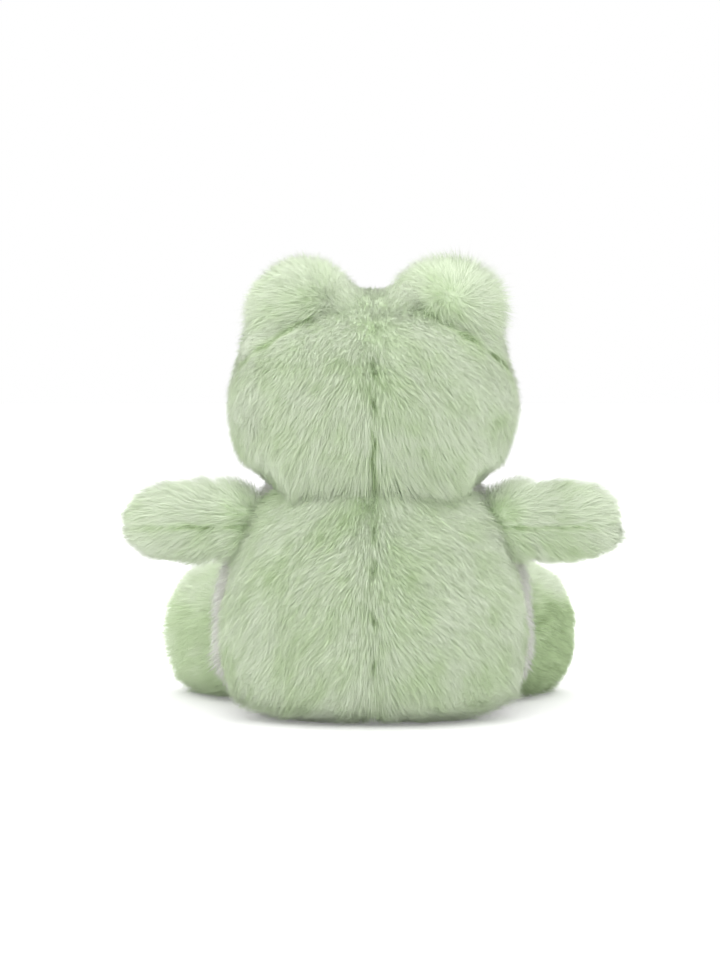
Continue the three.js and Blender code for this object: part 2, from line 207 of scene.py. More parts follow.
class FrogEyeSizes(bpy.types.PropertyGroup):
    turn_out: angle("Turn out", "How far an eye looks to its side", 14)
    dome_height: length("Dome height", "Of the eye, with its rim", 0.0056)
    keep_clear: length("Keep clear", "From the eye's middle to the nearest strand", 0.0082)
    roll_radius: length("Roll radius", "Of the padded roll behind an eye", 0.0093)
    roll_half_depth: length("Roll half depth", "Of the padded roll behind an eye", 0.0062)
    rim_round: length("Rim rounding", "Round edge of the eye's rim", 0.0009)
    mouth_half_width: length("Half mouth", "From the middle to a corner of the mouth", 0.024)
    mouth_drop: length("Mouth drop", "How far the middle lies below the corners", 0.007)
    mouth_below: length("Mouth below the axis", "From the head's axis down to the corners", 0.004)
    thread_radius: length("Thread radius", "Of the mouth's stitched thread", 0.00085)


class FrogColours(bpy.types.PropertyGroup):
    mint_root: colour("Mint roots", "Pile at its roots, and its backing", "#e1f3cf")
    mint_middle: colour("Mint pile", "Pile halfway up", "#e4f4d2")
    mint_tip: colour("Mint tips", "Pile at its tips", "#eaf6db")
    cream_root: colour("Cream roots", "Belly pile at its roots", "#f1f2e9")
    cream_tip: colour("Cream tips", "Belly pile at its tips", "#fafaf5")
    eye_black: colour("Eye", "The eyes' moulded body", "#08080a")
    thread: colour("Mouth thread", "The mouth's stitched thread", "#4f5f45")
    fibre: colour("Stuffing", "Polyester fibre", "#f1f1ea")
    cotton: colour("Pouch", "Cotton of the pellet bag", "#d9d3c3")
    nylon: colour("Washer", "Moulded nylon", "#e4e4de")


class FrogStageSizes(bpy.types.PropertyGroup):
    elevation: angle("Elevation", "Of the camera above the horizon", 3.0)
    distance: length("Distance", "From the camera to what it looks at", 1.5)
    seen_height: length("Seen height", "What the picture takes in, from top to bottom", 0.4915)
    aim_x: length("Aim across", "Where the camera looks, across the frog", 0.0067)
    aim_z: length("Aim height", "Where the camera looks, above the floor", 0.121)
    floor_side: length("Floor side", "Side of the floor", 12.0)
    sky_strength: share("Sky strength", "Even light from all round", 1.15)
    key_power: power("Key power", "Power of the lamp behind", 14.0)
    lamp_size: length("Lamp size", "Side of each lamp", 2.0)
    fill_power: power("Fill power", "Power of the lamp in front", 9.0)


SETTINGS = {
    "frog_torso": FrogTorsoSizes,
    "frog_head": FrogHeadSizes,
    "frog_bump": FrogBumpSizes,
    "frog_arm": FrogArmSizes,
    "frog_leg": FrogLegSizes,
    "frog_pile": FrogPileSizes,
    "frog_eye": FrogEyeSizes,
    "frog_colours": FrogColours,
    "frog_stage": FrogStageSizes,
}


def setting(name):
    """The settings of one part of the frog."""
    return getattr(bpy.context.scene, "frog_" + name)


# Stuffed forms

class Form:
    """A stuffed form about its own Z axis. Each half swells as a superellipse towards its pole."""

    def __init__(self, width, back, front, tip, root, tip_fullness, root_fullness, place, under=ROUND):
        self.sizes = (width, back, front, tip, root)
        self.fullness = (tip_fullness, root_fullness)
        self.place = np.array(place)
        self.under = under

    def grown(self, by):
        """The same form with its surface moved out."""
        return Form(*(size + by for size in self.sizes), *self.fullness, self.place, self.under)

    def turned(self, joint, degrees):
        """The same form turned about a joint."""
        pivot = Matrix.Translation(JOINTS[joint]["pos_m"])
        turn = Matrix.Rotation(math.radians(degrees), 4, Vector(JOINTS[joint]["axis"]))
        place = np.array(pivot @ turn @ pivot.inverted()) @ self.place
        return Form(*self.sizes, *self.fullness, place, self.under)

    def local(self, points):
        """Points as the form's own axes see them."""
        return (points - self.place[:3, 3]) @ self.place[:3, :3]

    def spread(self, unit):
        """Points of a unit ball carried to the form's surface."""
        width, back, front, tip, root = self.sizes
        towards_tip = unit[:, 2] >= 0
        full = np.where(towards_tip, *self.fullness)
        swell = np.maximum(1 - np.abs(unit[:, 2]) ** full, 0) ** (1 / full)
        turn = unit[:, :2] / np.maximum(np.hypot(unit[:, 0], unit[:, 1]), 1e-9)[:, None]
        ring = np.where(turn[:, 0] < 0, self.under, ROUND)[:, None]
        turn = np.sign(turn) * np.abs(turn) ** (2 / ring)
        across = np.stack((
            width * swell * turn[:, 0],
            np.where(unit[:, 1] > 0, back, front) * swell * turn[:, 1],
            np.where(towards_tip, tip, root) * unit[:, 2],
        ), axis=1)
        return across @ self.place[:3, :3].T + self.place[:3, 3]

    def parts(self, points):
        """A point's shares along and across the form, with the sizes that they are shares of."""
        width, back, front, tip, root = self.sizes
        at = self.local(points)
        reach = np.where(at[:, 2] >= 0, tip, root)
        depth = np.where(at[:, 1] > 0, back, front)
        full = np.where(at[:, 2] >= 0, *self.fullness)
        ring = np.where(at[:, 0] < 0, self.under, ROUND)
        along = np.abs(at[:, 2]) / reach
        aside = np.abs(at[:, 0]) / width, np.abs(at[:, 1]) / depth
        across = np.maximum((aside[0] ** ring + aside[1] ** ring) ** (1 / ring), 1e-9)
        return at, reach, depth, full, ring, along, aside, across

    def level(self, points):
        """Below 1 inside the form, 1 on its surface and more outside."""
        _, _, _, full, _, along, _, across = self.parts(points)
        return (along ** full + across ** full) ** (1 / full)

    def normals(self, points):
        """The outward directions at points near the surface."""
        at, reach, depth, full, ring, along, aside, across = self.parts(points)
        steep = across ** (full - ring)
        slope = np.sign(at) * np.stack((
            steep * aside[0] ** (ring - 1) / self.sizes[0],
            steep * aside[1] ** (ring - 1) / depth,
            along ** (full - 1) / reach,
        ), axis=1)
        return unit_rows(slope @ self.place[:3, :3].T)


def unit_rows(vectors):
    """The same vectors, each one long."""
    return vectors / np.maximum(np.linalg.norm(vectors, axis=1, keepdims=True), 1e-12)


def even_form(width, depth, reach, fullness, place):
    """A form whose front is like its back and whose tip is like its root."""
    return Form(width, depth, depth, reach, reach, fullness, fullness, place)


def torso_form():
    """The torso, standing."""
    s = setting("torso")
    return Form(s.half_width, s.back_depth, s.belly_depth, s.crown_height, s.base_depth,
                s.crown_fullness, s.base_fullness, Matrix.Translation((0, 0, s.level)))


def head_form():
    """The head, lying across its nodding axis."""
    s = setting("head")
    place = Matrix.Translation(HEAD_AXIS) @ Matrix.Rotation(math.pi / 2, 4, "Y")
    return even_form(s.radius, s.radius, s.half_width, s.fullness, place)


def bump_form(side):
    """An eye bump, leaning outwards from the head's top corner."""
    s = setting("bump")
    eye_level = sum(corner.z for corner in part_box("left_eye")) / 2
    centre = Vector((side * s.apart, HEAD_AXIS[1] + s.set_back, eye_level - s.below_eye))
    place = Matrix.Translation(centre) @ Matrix.Rotation(side * s.tilt, 4, "Y")
    return even_form(s.half_width, s.half_depth, s.half_height, s.fullness, place)


def limb_place(joint):
    """The limb's pivot, and the way its own axes point: up, across and outwards."""
    lift = Vector(JOINTS[joint]["axis"])
    outwards = Vector(UP).cross(lift)
    turn = Matrix((UP, outwards.cross(Vector(UP)), outwards)).transposed().to_4x4()
    return Matrix.Translation(JOINTS[joint]["pos_m"]) @ turn


def limb_forms(limb, side_name):
    """A limb's swelling form and the ball at its root."""
    s = setting(limb)
    place = limb_place(f"{side_name}_{limb}_lift")
    middle = place @ Matrix.Translation((0, 0, s.ball_to_middle))
    swelling = Form(s.half_height, s.half_depth, s.half_depth, s.tip_reach, s.root_reach,
                    s.tip_fullness, s.root_fullness, middle, s.under_fullness)
    across = place @ Matrix.Rotation(math.pi / 2, 4, "X")
    return swelling, even_form(s.ball_radius, s.ball_radius, s.ball_half_depth, ROUND, across)


def at_range(forms, joint, way=1):
    """Forms at rest and at both ends of a joint's range. What rides on it sees them the way -1."""
    turns = (0, *JOINTS[joint]["range_deg"])
    return [[form.turned(joint, way * degrees) for form in forms] for degrees in turns]


def covered(points, poses):
    """Which points lie inside the forms at every pose."""
    return np.all([np.any([form.level(points) < 1 for form in forms], axis=0) for forms in poses], axis=0)


def rise(values, start, over):
    """0 up to the start and 1 past the given width. A width below 0 runs the other way."""
    return np.clip((values - start) / over, 0, 1)


def bell(values, middle, width):
    """1 at the middle, fading to both sides."""
    return np.exp(-((values - middle) / width) ** 2)


def away_from(points, centre, calm):
    """The ways out from a centre: one long, and shorter inside the calm distance."""
    off = points - centre
    return off / np.maximum(np.linalg.norm(off, axis=1, keepdims=True), calm)


def columns(count, *values):
    """Values side by side in rows. A single number fills its whole column."""
    return np.stack([np.broadcast_to(value, count) for value in values], axis=1)


def smooth_noise(points, size, seed, waves=9):
    """A gentle variation from about -1 to 1 over the points, with features of the given size."""
    rng = np.random.default_rng(seed)
    total = np.zeros(len(points))
    for _ in range(waves):
        direction = rng.normal(size=3)
        direction *= 2 * math.pi / (size * rng.uniform(0.7, 1.5) * np.linalg.norm(direction))
        total += np.sin(points @ direction + rng.uniform(0, 2 * math.pi))
    return total / 3


# Backings

def deselect_all():
    """Leaves edit mode and chooses nothing."""
    if bpy.context.object and bpy.context.object.mode != "OBJECT":
        bpy.ops.object.mode_set(mode="OBJECT")
    bpy.ops.object.select_all(action="DESELECT")


def choose(piece):
    """Makes one piece the only chosen one."""
    deselect_all()
    piece.select_set(True)
    bpy.context.view_layer.objects.active = piece


def edit_whole(piece, operation, **options):
    """Runs one mesh operation on the whole of a piece."""
    choose(piece)
    bpy.ops.object.mode_set(mode="EDIT")
    bpy.ops.mesh.select_all(action="SELECT")
    operation(**options)
    bpy.ops.object.mode_set(mode="OBJECT")


def points_of(mesh):
    """The places of a mesh's points, in rows."""
    points = np.empty(len(mesh.vertices) * 3)
    mesh.vertices.foreach_get("co", points)
    return points.reshape(-1, 3)


def stuffed_ball(name, form, segments=64, rings=44):
    """A ball swollen to a stuffed form."""
    deselect_all()
    bpy.ops.mesh.primitive_uv_sphere_add(segments=segments, ring_count=rings, radius=1)
    ball = bpy.context.object
    ball.name = name
    ball.data.vertices.foreach_set("co", form.spread(points_of(ball.data)).ravel())
    edit_whole(ball, bpy.ops.mesh.normals_make_consistent, inside=False)
    return ball


def combine(piece, tool, operation):
    """Joins a tool piece to a piece, or cuts it out, and removes the tool."""
    choose(piece)
    modifier = piece.modifiers.new(operation.lower(), "BOOLEAN")
    modifier.operation = operation
    modifier.solver = "EXACT"
    modifier.object = tool
    bpy.ops.object.modifier_apply(modifier=modifier.name)
    bpy.data.objects.remove(tool)


def cut_away(piece, at, away):
    """Cuts off what lies on one side of a plane and closes the cut."""
    edit_whole(piece, bpy.ops.mesh.bisect, plane_co=at, plane_no=away, use_fill=True, clear_outer=True)


def cut_seats(piece, by):
    """Cuts the seats of the head and the limbs out of a piece of the torso."""
    combine(piece, stuffed_ball("head_seat", head_form().grown(by)), "DIFFERENCE")
    for limb, side_name in LIMBS:
        ball = limb_forms(limb, side_name)[1].grown(by)
        combine(piece, stuffed_ball("limb_seat", ball, 32, 24), "DIFFERENCE")


def copy_of(piece, name):
    """A copy of a piece with a mesh of its own."""
    copy = piece.copy()
    copy.data = piece.data.copy()
    copy.name = name
    bpy.context.collection.objects.link(copy)
    return copy


# Pile

def lattice(rows=72, columns=96):
    """A unit ball's points in rows from pole to pole, and its triangles."""
    latitude = np.linspace(-math.pi / 2, math.pi / 2, rows + 1)[:, None]
    longitude = np.linspace(0, 2 * math.pi, columns, endpoint=False)[None, :]
    points = np.stack((
        np.cos(latitude) * np.cos(longitude),
        np.cos(latitude) * np.sin(longitude),
        np.sin(latitude) * np.ones_like(longitude),
    ), axis=2).reshape(-1, 3)
    row, column = np.meshgrid(np.arange(rows), np.arange(columns), indexing="ij")
    corner = row * columns + column
    beside = row * columns + (column + 1) % columns
    first = np.stack((corner, beside, beside + columns), axis=2).reshape(-1, 3)
    second = np.stack((corner, beside + columns, corner + columns), axis=2).reshape(-1, 3)
    return points, np.concatenate((first, second))


def scatter(form, density, rng):
    """Places spread evenly over a form, at so many in a square millimetre."""
    unit, triangles = lattice()
    corners = form.spread(unit)[triangles]
    areas = np.linalg.norm(np.cross(corners[:, 1] - corners[:, 0], corners[:, 2] - corners[:, 0]), axis=1) / 2
    count = int(areas.sum() * 1e6 * density)
    picked = corners[rng.choice(len(areas), count, p=areas / areas.sum())]
    a, b = np.sqrt(rng.random((count, 1))), rng.random((count, 1))
    points = picked[:, 0] * (1 - a) + picked[:, 1] * a * (1 - b) + picked[:, 2] * a * b
    return points, form.normals(points)


class Pile:
    """The strands of one panel: where they are rooted and how each one grows."""

    def __init__(self, forms, density, keep, seed, half=0):
        self.rng = np.random.default_rng((seed, half + 1))
        self.seed = seed
        roots, normals = [], []
        for form in forms:
            points, directions = scatter(form, density, self.rng)
            kept = keep(points)
            for other in forms:
                if other is not form:
                    kept &= other.level(points) > 1
            roots.append(points[kept])
            normals.append(directions[kept])
        self.root, self.normal = np.concatenate(roots), np.concatenate(normals)
        self.count = len(self.root)
        self.length = np.full(self.count, setting("pile").long)
        self.low_lean = np.full(self.count, math.radians(LOW_LEAN))
        self.high_lean = np.full(self.count, math.radians(HIGH_LEAN))
        # The tint places each strand across the bake map: its own tone, and also the painted shade and
        # painted light that the combs give it.
        self.tint = np.full(self.count, 0.5)
        self.depth = np.full(self.count, 0.0004)
        self.roundness = np.full(self.count, 0.7)
        self.still = np.zeros(self.count)
        self.comb = np.tile(-UP, (self.count, 1))

    def change(self, where, length=0.0, low=0.0, high=0.0, tint=0.0, roundness=0.0):
        """Changes the pile by a share of its length and by degrees of lean, as far as where says."""
        self.length *= 1 + length * where
        self.low_lean += math.radians(low) * where
        self.high_lean += math.radians(high) * where
        self.tint += tint * where
        self.roundness += roundness * where

    def comb_to(self, where, way):
        """Combs the pile another way, as far as where says."""
        where = where[:, None]
        self.comb = self.comb * (1 - where) + way * where

    def ruffle(self, turn):
        """Varies the pile in patches and from strand to strand."""
        self.settle()

        def patches(size, number):
            return smooth_noise(self.root, size, self.seed + number)

        def stray(amount):
            return amount * self.rng.normal(size=self.count)

        self.length *= 1 + 0.10 * patches(0.022, 1) + stray(0.16)
        self.length = np.maximum(self.length, SHORTEST)
        self.low_lean += 0.12 * patches(0.017, 2) + stray(0.10)
        self.high_lean += 0.12 * patches(0.013, 3) + stray(0.10)
        self.tint += 0.12 * patches(0.026, 4) + 0.09 * patches(0.008, 5)
        self.tint += stray(0.04)
        swirl = turn * (patches(0.028, 6) + 0.5 * patches(0.010, 7)) * (1 - self.still) + stray(0.12)
        along = self.along()
        self.comb = along * np.cos(swirl)[:, None] + np.cross(self.normal, along) * np.sin(swirl)[:, None]

    def settle(self):
        """Spreads the pile outwards where the form rests on the surface below."""
        near = rise(self.root[:, 2], RESTING_HEIGHT, -RESTING_HEIGHT) * (self.normal[:, 2] < 0)
        self.comb = self.comb + 3 * near[:, None] * self.normal * (1, 1, 0)
        self.low_lean -= 0.45 * near
        self.length *= 1 + 0.15 * near

    def along(self):
        """The comb direction laid on the surface. It keeps its strength, up to 1."""
        flat = self.comb - (self.comb * self.normal).sum(1, keepdims=True) * self.normal
        return away_from(flat, 0, 1)

    def centre_lines(self):
        """Root, middle and tip of each strand, drawn together into tufts."""
        along = self.along()
        strength = np.linalg.norm(along, axis=1, keepdims=True)
        along = along / np.maximum(strength, 1e-9)
        ease = np.clip(1.6 * strength, 0.75, 1)
        low, high = self.low_lean[:, None] * ease, self.high_lean[:, None] * ease
        reach = self.length[:, None]
        root = self.root - self.depth[:, None] * self.normal
        middle = self.root + BEND_SHARE * reach * (self.normal * np.cos(low) + along * np.sin(low))
        tip = middle + (1 - BEND_SHARE) * reach * (self.normal * np.cos(high) + along * np.sin(high))
        leaders = np.arange(0, self.count, TUFT_STRANDS)
        tree = KDTree(len(leaders))
        for i, leader in enumerate(leaders):
            tree.insert(self.root[leader], i)
        tree.balance()
        nearest = leaders[[tree.find(place)[1] for place in self.root]]
        pull = self.rng.uniform(0.0, 0.35, (self.count, 1))
        offset = self.root - self.root[nearest]
        middle += pull * 0.35 * (middle[nearest] + offset * 0.8 - middle)
        tip += pull * (tip[nearest] + offset * 0.45 - tip)
        self.tint += 0.03 * self.rng.normal(size=self.count)[nearest]
        lift = 0.0003 + 0.0006 * self.rng.random(self.count)
        for line in (root, middle, tip):
            line[:, 2] = np.maximum(line[:, 2], lift)
        return root, middle, tip

    def strands(self):
        """Closed three-sided strands: points, normals, triangles and their place on the bake map."""
        root, middle, tip = self.centre_lines()
        bent = self.rng.random(self.count) < setting("pile").bent_share
        parts = [
            self.spikes(bent, ((root, 0.8, ROOT_SHARE), (middle, 1.0, MIDDLE_SHARE)), tip),
            self.spikes(~bent, ((root, 1.0, ROOT_SHARE),), tip),
        ]
        parts[1][2] += len(parts[0][0])
        return [np.concatenate(pair) for pair in zip(*parts)]

    def spikes(self, chosen, rings, tips):
        """Strands of rings of three points, with their widths and shares up the strand, and a tip."""
        tip, normal, roundness = tips[chosen], self.normal[chosen], self.roundness[chosen, None]
        width = setting("pile").hair_width
        count = len(tip)
        axis = unit_rows(tip - rings[0][0][chosen])
        side = unit_rows(np.cross(axis, normal) + 1e-6)
        other = np.cross(axis, side)
        roll = self.rng.uniform(0, 2 * math.pi, count)
        points, normals, shares = [], [], []
        for line, wide, up in rings:
            for k in range(3):
                turn = (roll + 2 * math.pi * k / 3)[:, None]
                around = side * np.cos(turn) + other * np.sin(turn)
                points.append(line[chosen] + around * (width * wide / 2))
                normals.append(unit_rows(normal + roundness * around))
                shares.append((0.008 * k - 0.008, up))
        points.append(tip)
        normals.append(unit_rows(normal + 0.1 * axis))
        shares.append((0.0, TIP_SHARE))
        last = 3 * len(rings)
        pattern = [(0, 2, 1)]
        for low in range(0, last, 3):
            for k in range(3):
                here, beside = low + k, low + (k + 1) % 3
                if low + 3 < last:
                    pattern += [(here, beside, beside + 3), (here, beside + 3, here + 3)]
                else:
                    pattern.append((here, beside, last))
        triangles = (np.arange(count)[:, None, None] * (last + 1) + np.array(pattern)).reshape(-1, 3)
        across, up = np.array(shares).T
        tint = np.clip(self.tint[chosen], 0.02, 0.97)[:, None]
        bake_map = np.stack(((tint + across).ravel(), np.tile(up, count)), axis=1)
        return [np.stack(rows, axis=1).reshape(-1, 3) for rows in (points, normals)] + [triangles, bake_map]


def nearest_normals(forms, points):
    """The outward directions of whichever form's surface is nearest to each point."""
    off = np.array([np.abs(form.level(points) - 1) for form in forms])
    directions = np.array([form.normals(points) for form in forms])
    return directions[off.argmin(axis=0), np.arange(len(points))]


def finish_panel(backing, forms, pile, material, body, node, slot):
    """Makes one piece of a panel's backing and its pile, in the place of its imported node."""
    mesh = backing.data
    mesh.calc_loop_triangles()
    base = points_of(mesh)
    base_triangles = np.empty(len(mesh.loop_triangles) * 3, np.int32)
    mesh.loop_triangles.foreach_get("vertices", base_triangles)
    shade = np.clip(0.5 + 0.2 * smooth_noise(base, 0.012, 77), 0.1, 0.9)
    base_map = np.stack((shade, 0.03 + 0.02 * np.sin(base[:, 2] * 900)), axis=1)

    points, normals, triangles, bake_map = pile.strands()
    corners = np.concatenate((base_triangles, triangles.ravel() + len(base))).astype(np.int32)
    points = np.concatenate((base, points)).astype(np.float32)
    bake_map = np.concatenate((base_map, bake_map))[corners].astype(np.float32)
    whole = bpy.data.meshes.new(node + "_plush")
    whole.vertices.add(len(points))
    whole.vertices.foreach_set("co", points.ravel())
    whole.loops.add(len(corners))
    whole.loops.foreach_set("vertex_index", corners)
    whole.polygons.add(len(corners) // 3)
    whole.polygons.foreach_set("loop_start", np.arange(0, len(corners), 3, dtype=np.int32))
    whole.update(calc_edges=True)
    whole.uv_layers.new(name=BAKE_MAP).data.foreach_set("uv", bake_map.ravel())
    whole.shade_smooth()
    whole.normals_split_custom_set_from_vertices(np.concatenate((nearest_normals(forms, base), normals)))
    whole.materials.append(material)
    piece = bpy.data.objects.new(node + "_plush", whole)
    bpy.context.collection.objects.link(piece)
    bpy.data.objects.remove(backing)
    dress(piece, body, slot, node)


def dress(piece, body, slot, *nodes):
    """Lets a piece ride on its body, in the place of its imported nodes."""
    if nodes:
        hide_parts(*nodes)
    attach(piece, body)


# Materials

class Shade:
    """A node socket that maths can be written with: each operation adds its node."""

    def __init__(self, recipe, socket):
        self.recipe = recipe
        self.socket = socket

    def math(self, operation, *values):
        """What a maths node makes of the values."""
        node = self.recipe.node("ShaderNodeMath", {"operation": operation}, dict(enumerate(values)))
        return Shade(self.recipe, node.outputs[0])

    def __add__(self, other):
        return self.math("ADD", self, other)

    def __sub__(self, other):
        return self.math("SUBTRACT", self, other)

    def __mul__(self, other):
        return self.math("MULTIPLY", self, other)

    def __rsub__(self, other):
        return self.math("SUBTRACT", other, self)

    def __pow__(self, other):
        return self.math("POWER", self, other)

    __radd__ = __add__
    __rmul__ = __mul__


class Recipe:
    """The nodes of a material or of the world."""

    def __init__(self, owner):
        owner.use_nodes = True
        self.owner = owner
        self.tree = owner.node_tree
        self.surface = self.tree.nodes.get("Principled BSDF")

    def node(self, kind, settings=None, inputs=None):
        """Adds a node, sets its settings and then gives its sockets values or links."""
        node = self.tree.nodes.new(kind)
        for name, value in (settings or {}).items():
            if name == "stops":
                ramp = node.color_ramp.elements
                while len(ramp) < len(value):
                    ramp.new(0.5)
                for element, (position, tone) in zip(ramp, value):
                    element.position = position
                    element.color = tone
            else:
                setattr(node, name, value)
        for name, value in (inputs or {}).items():
            self.feed(node.inputs[name], value)
        return node

    def feed(self, socket, value):
        """Gives a socket a link or a value."""
        if isinstance(value, Shade):
            self.tree.links.new(value.socket, socket)
        else:
            socket.default_value = value

    def out(self, node, name=0):
        """One of a node's outputs, to write maths with."""
        return Shade(self, node.outputs[name])

    def mix(self, factor, first, second, blend="MIX"):
        """One colour turning into another."""
        settings = {"data_type": "RGBA", "blend_type": blend}
        return self.out(self.node("ShaderNodeMix", settings, {0: factor, 6: first, 7: second}), 2)

    def place(self):
        """The place on the piece itself."""
        return self.out(self.node("ShaderNodeTexCoord"), "Object")

    def noise(self, size, detail=2.0, roughness=0.5):
        """Noise on the piece's own place, with features of the given size in metres."""
        inputs = {"Vector": self.place(), "Scale": 1 / size, "Detail": detail, "Roughness": roughness}
        return self.out(self.node("ShaderNodeTexNoise", None, inputs))

    def bump(self, height, strength, distance):
        """A direction that makes a height look raised."""
        inputs = {"Strength": strength, "Distance": distance, "Height": height}
        return self.out(self.node("ShaderNodeBump", None, inputs))

    def surface_set(self, **values):
        """Gives the shader's sockets values or links, by their names with _ for a space."""
        for name, value in values.items():
            self.feed(self.surface.inputs[name.replace("_", " ")], value)
        return self.owner


def new_material(name):
    """The recipe of a new material."""
    return Recipe(bpy.data.materials.new(name))


def shaded(tone, kept=1.0):
    """A colour for a node, with only a share of its light kept."""
    return (*(part * kept for part in tone), 1.0)


def pile_material(name, *tones):
    """Pile whose colour runs from root to tip up the bake map and from dark to pale across it, where each
    strand's tint carries its own tone and also painted shade and painted light.
    """
    recipe = new_material(name)
    root, middle, tip = (shaded(tone) for tone in tones)
    bake_map = recipe.out(recipe.node("ShaderNodeUVMap", {"uv_map": BAKE_MAP}))
    place = recipe.node("ShaderNodeSeparateXYZ", None, {0: bake_map})
    across, up = recipe.out(place, 0), recipe.out(place, 1)
    low = recipe.mix(up * 2.0, root, middle)
    high = recipe.mix(up * 2.0 - 1.0, middle, tip)
    run = recipe.mix(up.math("GREATER_THAN", up, 0.5), low, high)
    # The dark end of this ramp holds the painted shade of seams, creases and shaded legs; the rest carries
    # the pile's own tone and painted light.
    stops = (
        (0.0, (0.34, 0.42, 0.26, 1)), (0.1, (0.72, 0.81, 0.62, 1)),
        (0.3, (0.88, 0.93, 0.82, 1)), (0.6, (1, 1, 1, 1)),
    )
    depth = recipe.out(recipe.node("ShaderNodeValToRGB", {"stops": stops}, {"Fac": across}))
    toned = recipe.mix(1.0, run, depth, "MULTIPLY")
    pale = recipe.mix(across * 0.3, toned, (0.95, 0.97, 0.90, 1))
    return recipe.surface_set(
        Base_Color=pale, Roughness=0.85, Specular_IOR_Level=0.2,
        Sheen_Weight=0.20, Sheen_Roughness=0.5, Sheen_Tint=tip,
    )


def mint_material():
    """The mint pile's material, which is made once."""
    c = setting("colours")
    made = bpy.data.materials.get("mint_pile")
    return made or pile_material("mint_pile", c.mint_root, c.mint_middle, c.mint_tip)


def cream_material():
    """The belly's off-white pile."""
    c = setting("colours")
    middle = [(a + b) / 2 for a, b in zip(c.cream_root, c.cream_tip)]
    return pile_material("cream_pile", c.cream_root, middle, c.cream_tip)


def eye_material():
    """Moulded black under a clear gloss."""
    recipe = new_material("eye_gloss")
    swirl = recipe.noise(0.004, 3.0)
    tone = recipe.mix(swirl, shaded(setting("colours").eye_black), (0.006, 0.006, 0.007, 1))
    return recipe.surface_set(Base_Color=tone, Roughness=recipe.noise(0.0015) * 0.05 + 0.05,
                              Specular_IOR_Level=0.35, Coat_Weight=0.3, Coat_Roughness=0.03)


def thread_material():
    """The mouth's thread, darker in places."""
    recipe = new_material("mouth_thread")
    fine, thread = recipe.noise(0.0004), setting("colours").thread
    tone = recipe.mix(fine, shaded(thread), shaded(thread, 0.6))
    return recipe.surface_set(Base_Color=tone, Roughness=0.7, Normal=recipe.bump(fine, 0.6, 0.0003))


def fibre_material():
    """Polyester fibre."""
    recipe = new_material("fibre")
    fine, fibre = recipe.noise(0.0012, 6.0, 0.7), setting("colours").fibre
    tone = recipe.mix(fine, shaded(fibre, 0.82), shaded(fibre))
    return recipe.surface_set(Base_Color=tone, Roughness=0.95, Normal=recipe.bump(fine, 0.8, 0.002))


def cotton_material():
    """The pellet bag's cotton, woven in two directions."""
    recipe = new_material("pouch_cotton")
    place, cotton = recipe.place(), setting("colours").cotton
    bands = []
    for direction in ("X", "Y"):
        settings, inputs = {"bands_direction": direction}, {"Vector": place, "Scale": 260.0}
        wave = recipe.node("ShaderNodeTexWave", settings, inputs)
        bands.append(recipe.out(wave, 1))
    weave = bands[0] * 0.5 + bands[1] * 0.5
    tone = recipe.mix(weave, shaded(cotton, 0.78), shaded(cotton))
    return recipe.surface_set(Base_Color=tone, Roughness=0.9, Normal=recipe.bump(weave, 0.5, 0.0004))


def nylon_material():
    """The washers' nylon."""
    recipe = new_material("washer_nylon")
    cloud, nylon = recipe.noise(0.003), setting("colours").nylon
    tone = recipe.mix(cloud, shaded(nylon, 0.9), shaded(nylon))
    return recipe.surface_set(Base_Color=tone, Roughness=cloud * 0.15 + 0.38)


# Torso and head

def torso_neighbours():
    """What may cover the torso: the head, and the limbs at rest and at both ends of their range."""
    poses = [[[head_form().grown(-COVER_DEPTH)]]]
    for limb, side_name in LIMBS:
        forms = [form.grown(-COVER_DEPTH) for form in limb_forms(limb, side_name)]
        poses.append(at_range(forms, f"{side_name}_{limb}_lift"))
    return poses


def head_neighbours():
    """What may cover the head: the torso, at rest and at both ends of the nod, and the eye bumps."""
    poses = [at_range([torso_form().grown(-COVER_DEPTH)], "head_nod", -1)]
    for side in SIDES.values():
        poses.append([[bump_form(side).grown(-COVER_DEPTH)]])
    return poses


def draw_in_piece(piece, half_depth):
    """Draws a backing or a stuffing in along the centre-back seam, below every strand's root."""
    points = points_of(piece.data)
    points[:, 1] -= 0.0046 * bell(points[:, 0], 0, 0.008) * rise(points[:, 1], 0, half_depth)
    piece.data.vertices.foreach_set("co", points.ravel())


def at_stitches(points):
    """1 where the centre-back seam is pulled tight, by height, and fading round it."""
    x, _, z = points.T
    pulled = bell(z[:, None], STITCH_LEVELS, 0.0034).max(axis=1)
    long_pull = rise(z, 0.157, -0.004) * rise(z, 0.108, 0.004)
    sway = 0.0007 * np.sin(z * 420)
    return np.maximum(pulled, 0.6 * long_pull) * bell(x, sway, 0.0014)


def part_at_seam(pile, half_depth):
    """Parts the pile at the centre-back seam, draws it in and paints shade into it at the stitches, where the
    pulled seam lies in shadow.
    """
    x, y = pile.root[:, 0], pile.root[:, 1]
    pulled = at_stitches(pile.root)
    # Painted shade in the stitched crease of the seam.
    pile.tint -= 0.9 * pulled
    pile.depth += 0.003 * bell(x, 0, 0.009)
    pile.still = 0.85 * bell(x, 0, 0.012)
    pile.root[:, 1] -= (0.0016 * bell(x, 0, 0.009) + 0.0030 * pulled) * rise(y, 0, half_depth)


def backing_halves(name, back, front, half_depth, seam):
    """A body's front panel, and its left and right back panels on a drawn-in centre seam."""
    whole = stuffed_ball(name, back)
    draw_in_piece(whole, half_depth)
    cut_away(whole, (0, seam, 0), (0, -1, 0))
    backs = {}
    for side_name, side in SIDES.items():
        backs[side_name] = copy_of(whole, name + "_back_" + side_name)
        cut_away(backs[side_name], (0, 0, 0), (-side, 0, 0))
    bpy.data.objects.remove(whole)
    panel = stuffed_ball(name + "_front", front)
    cut_away(panel, (0, seam, 0), (0, 1, 0))
    return panel, backs


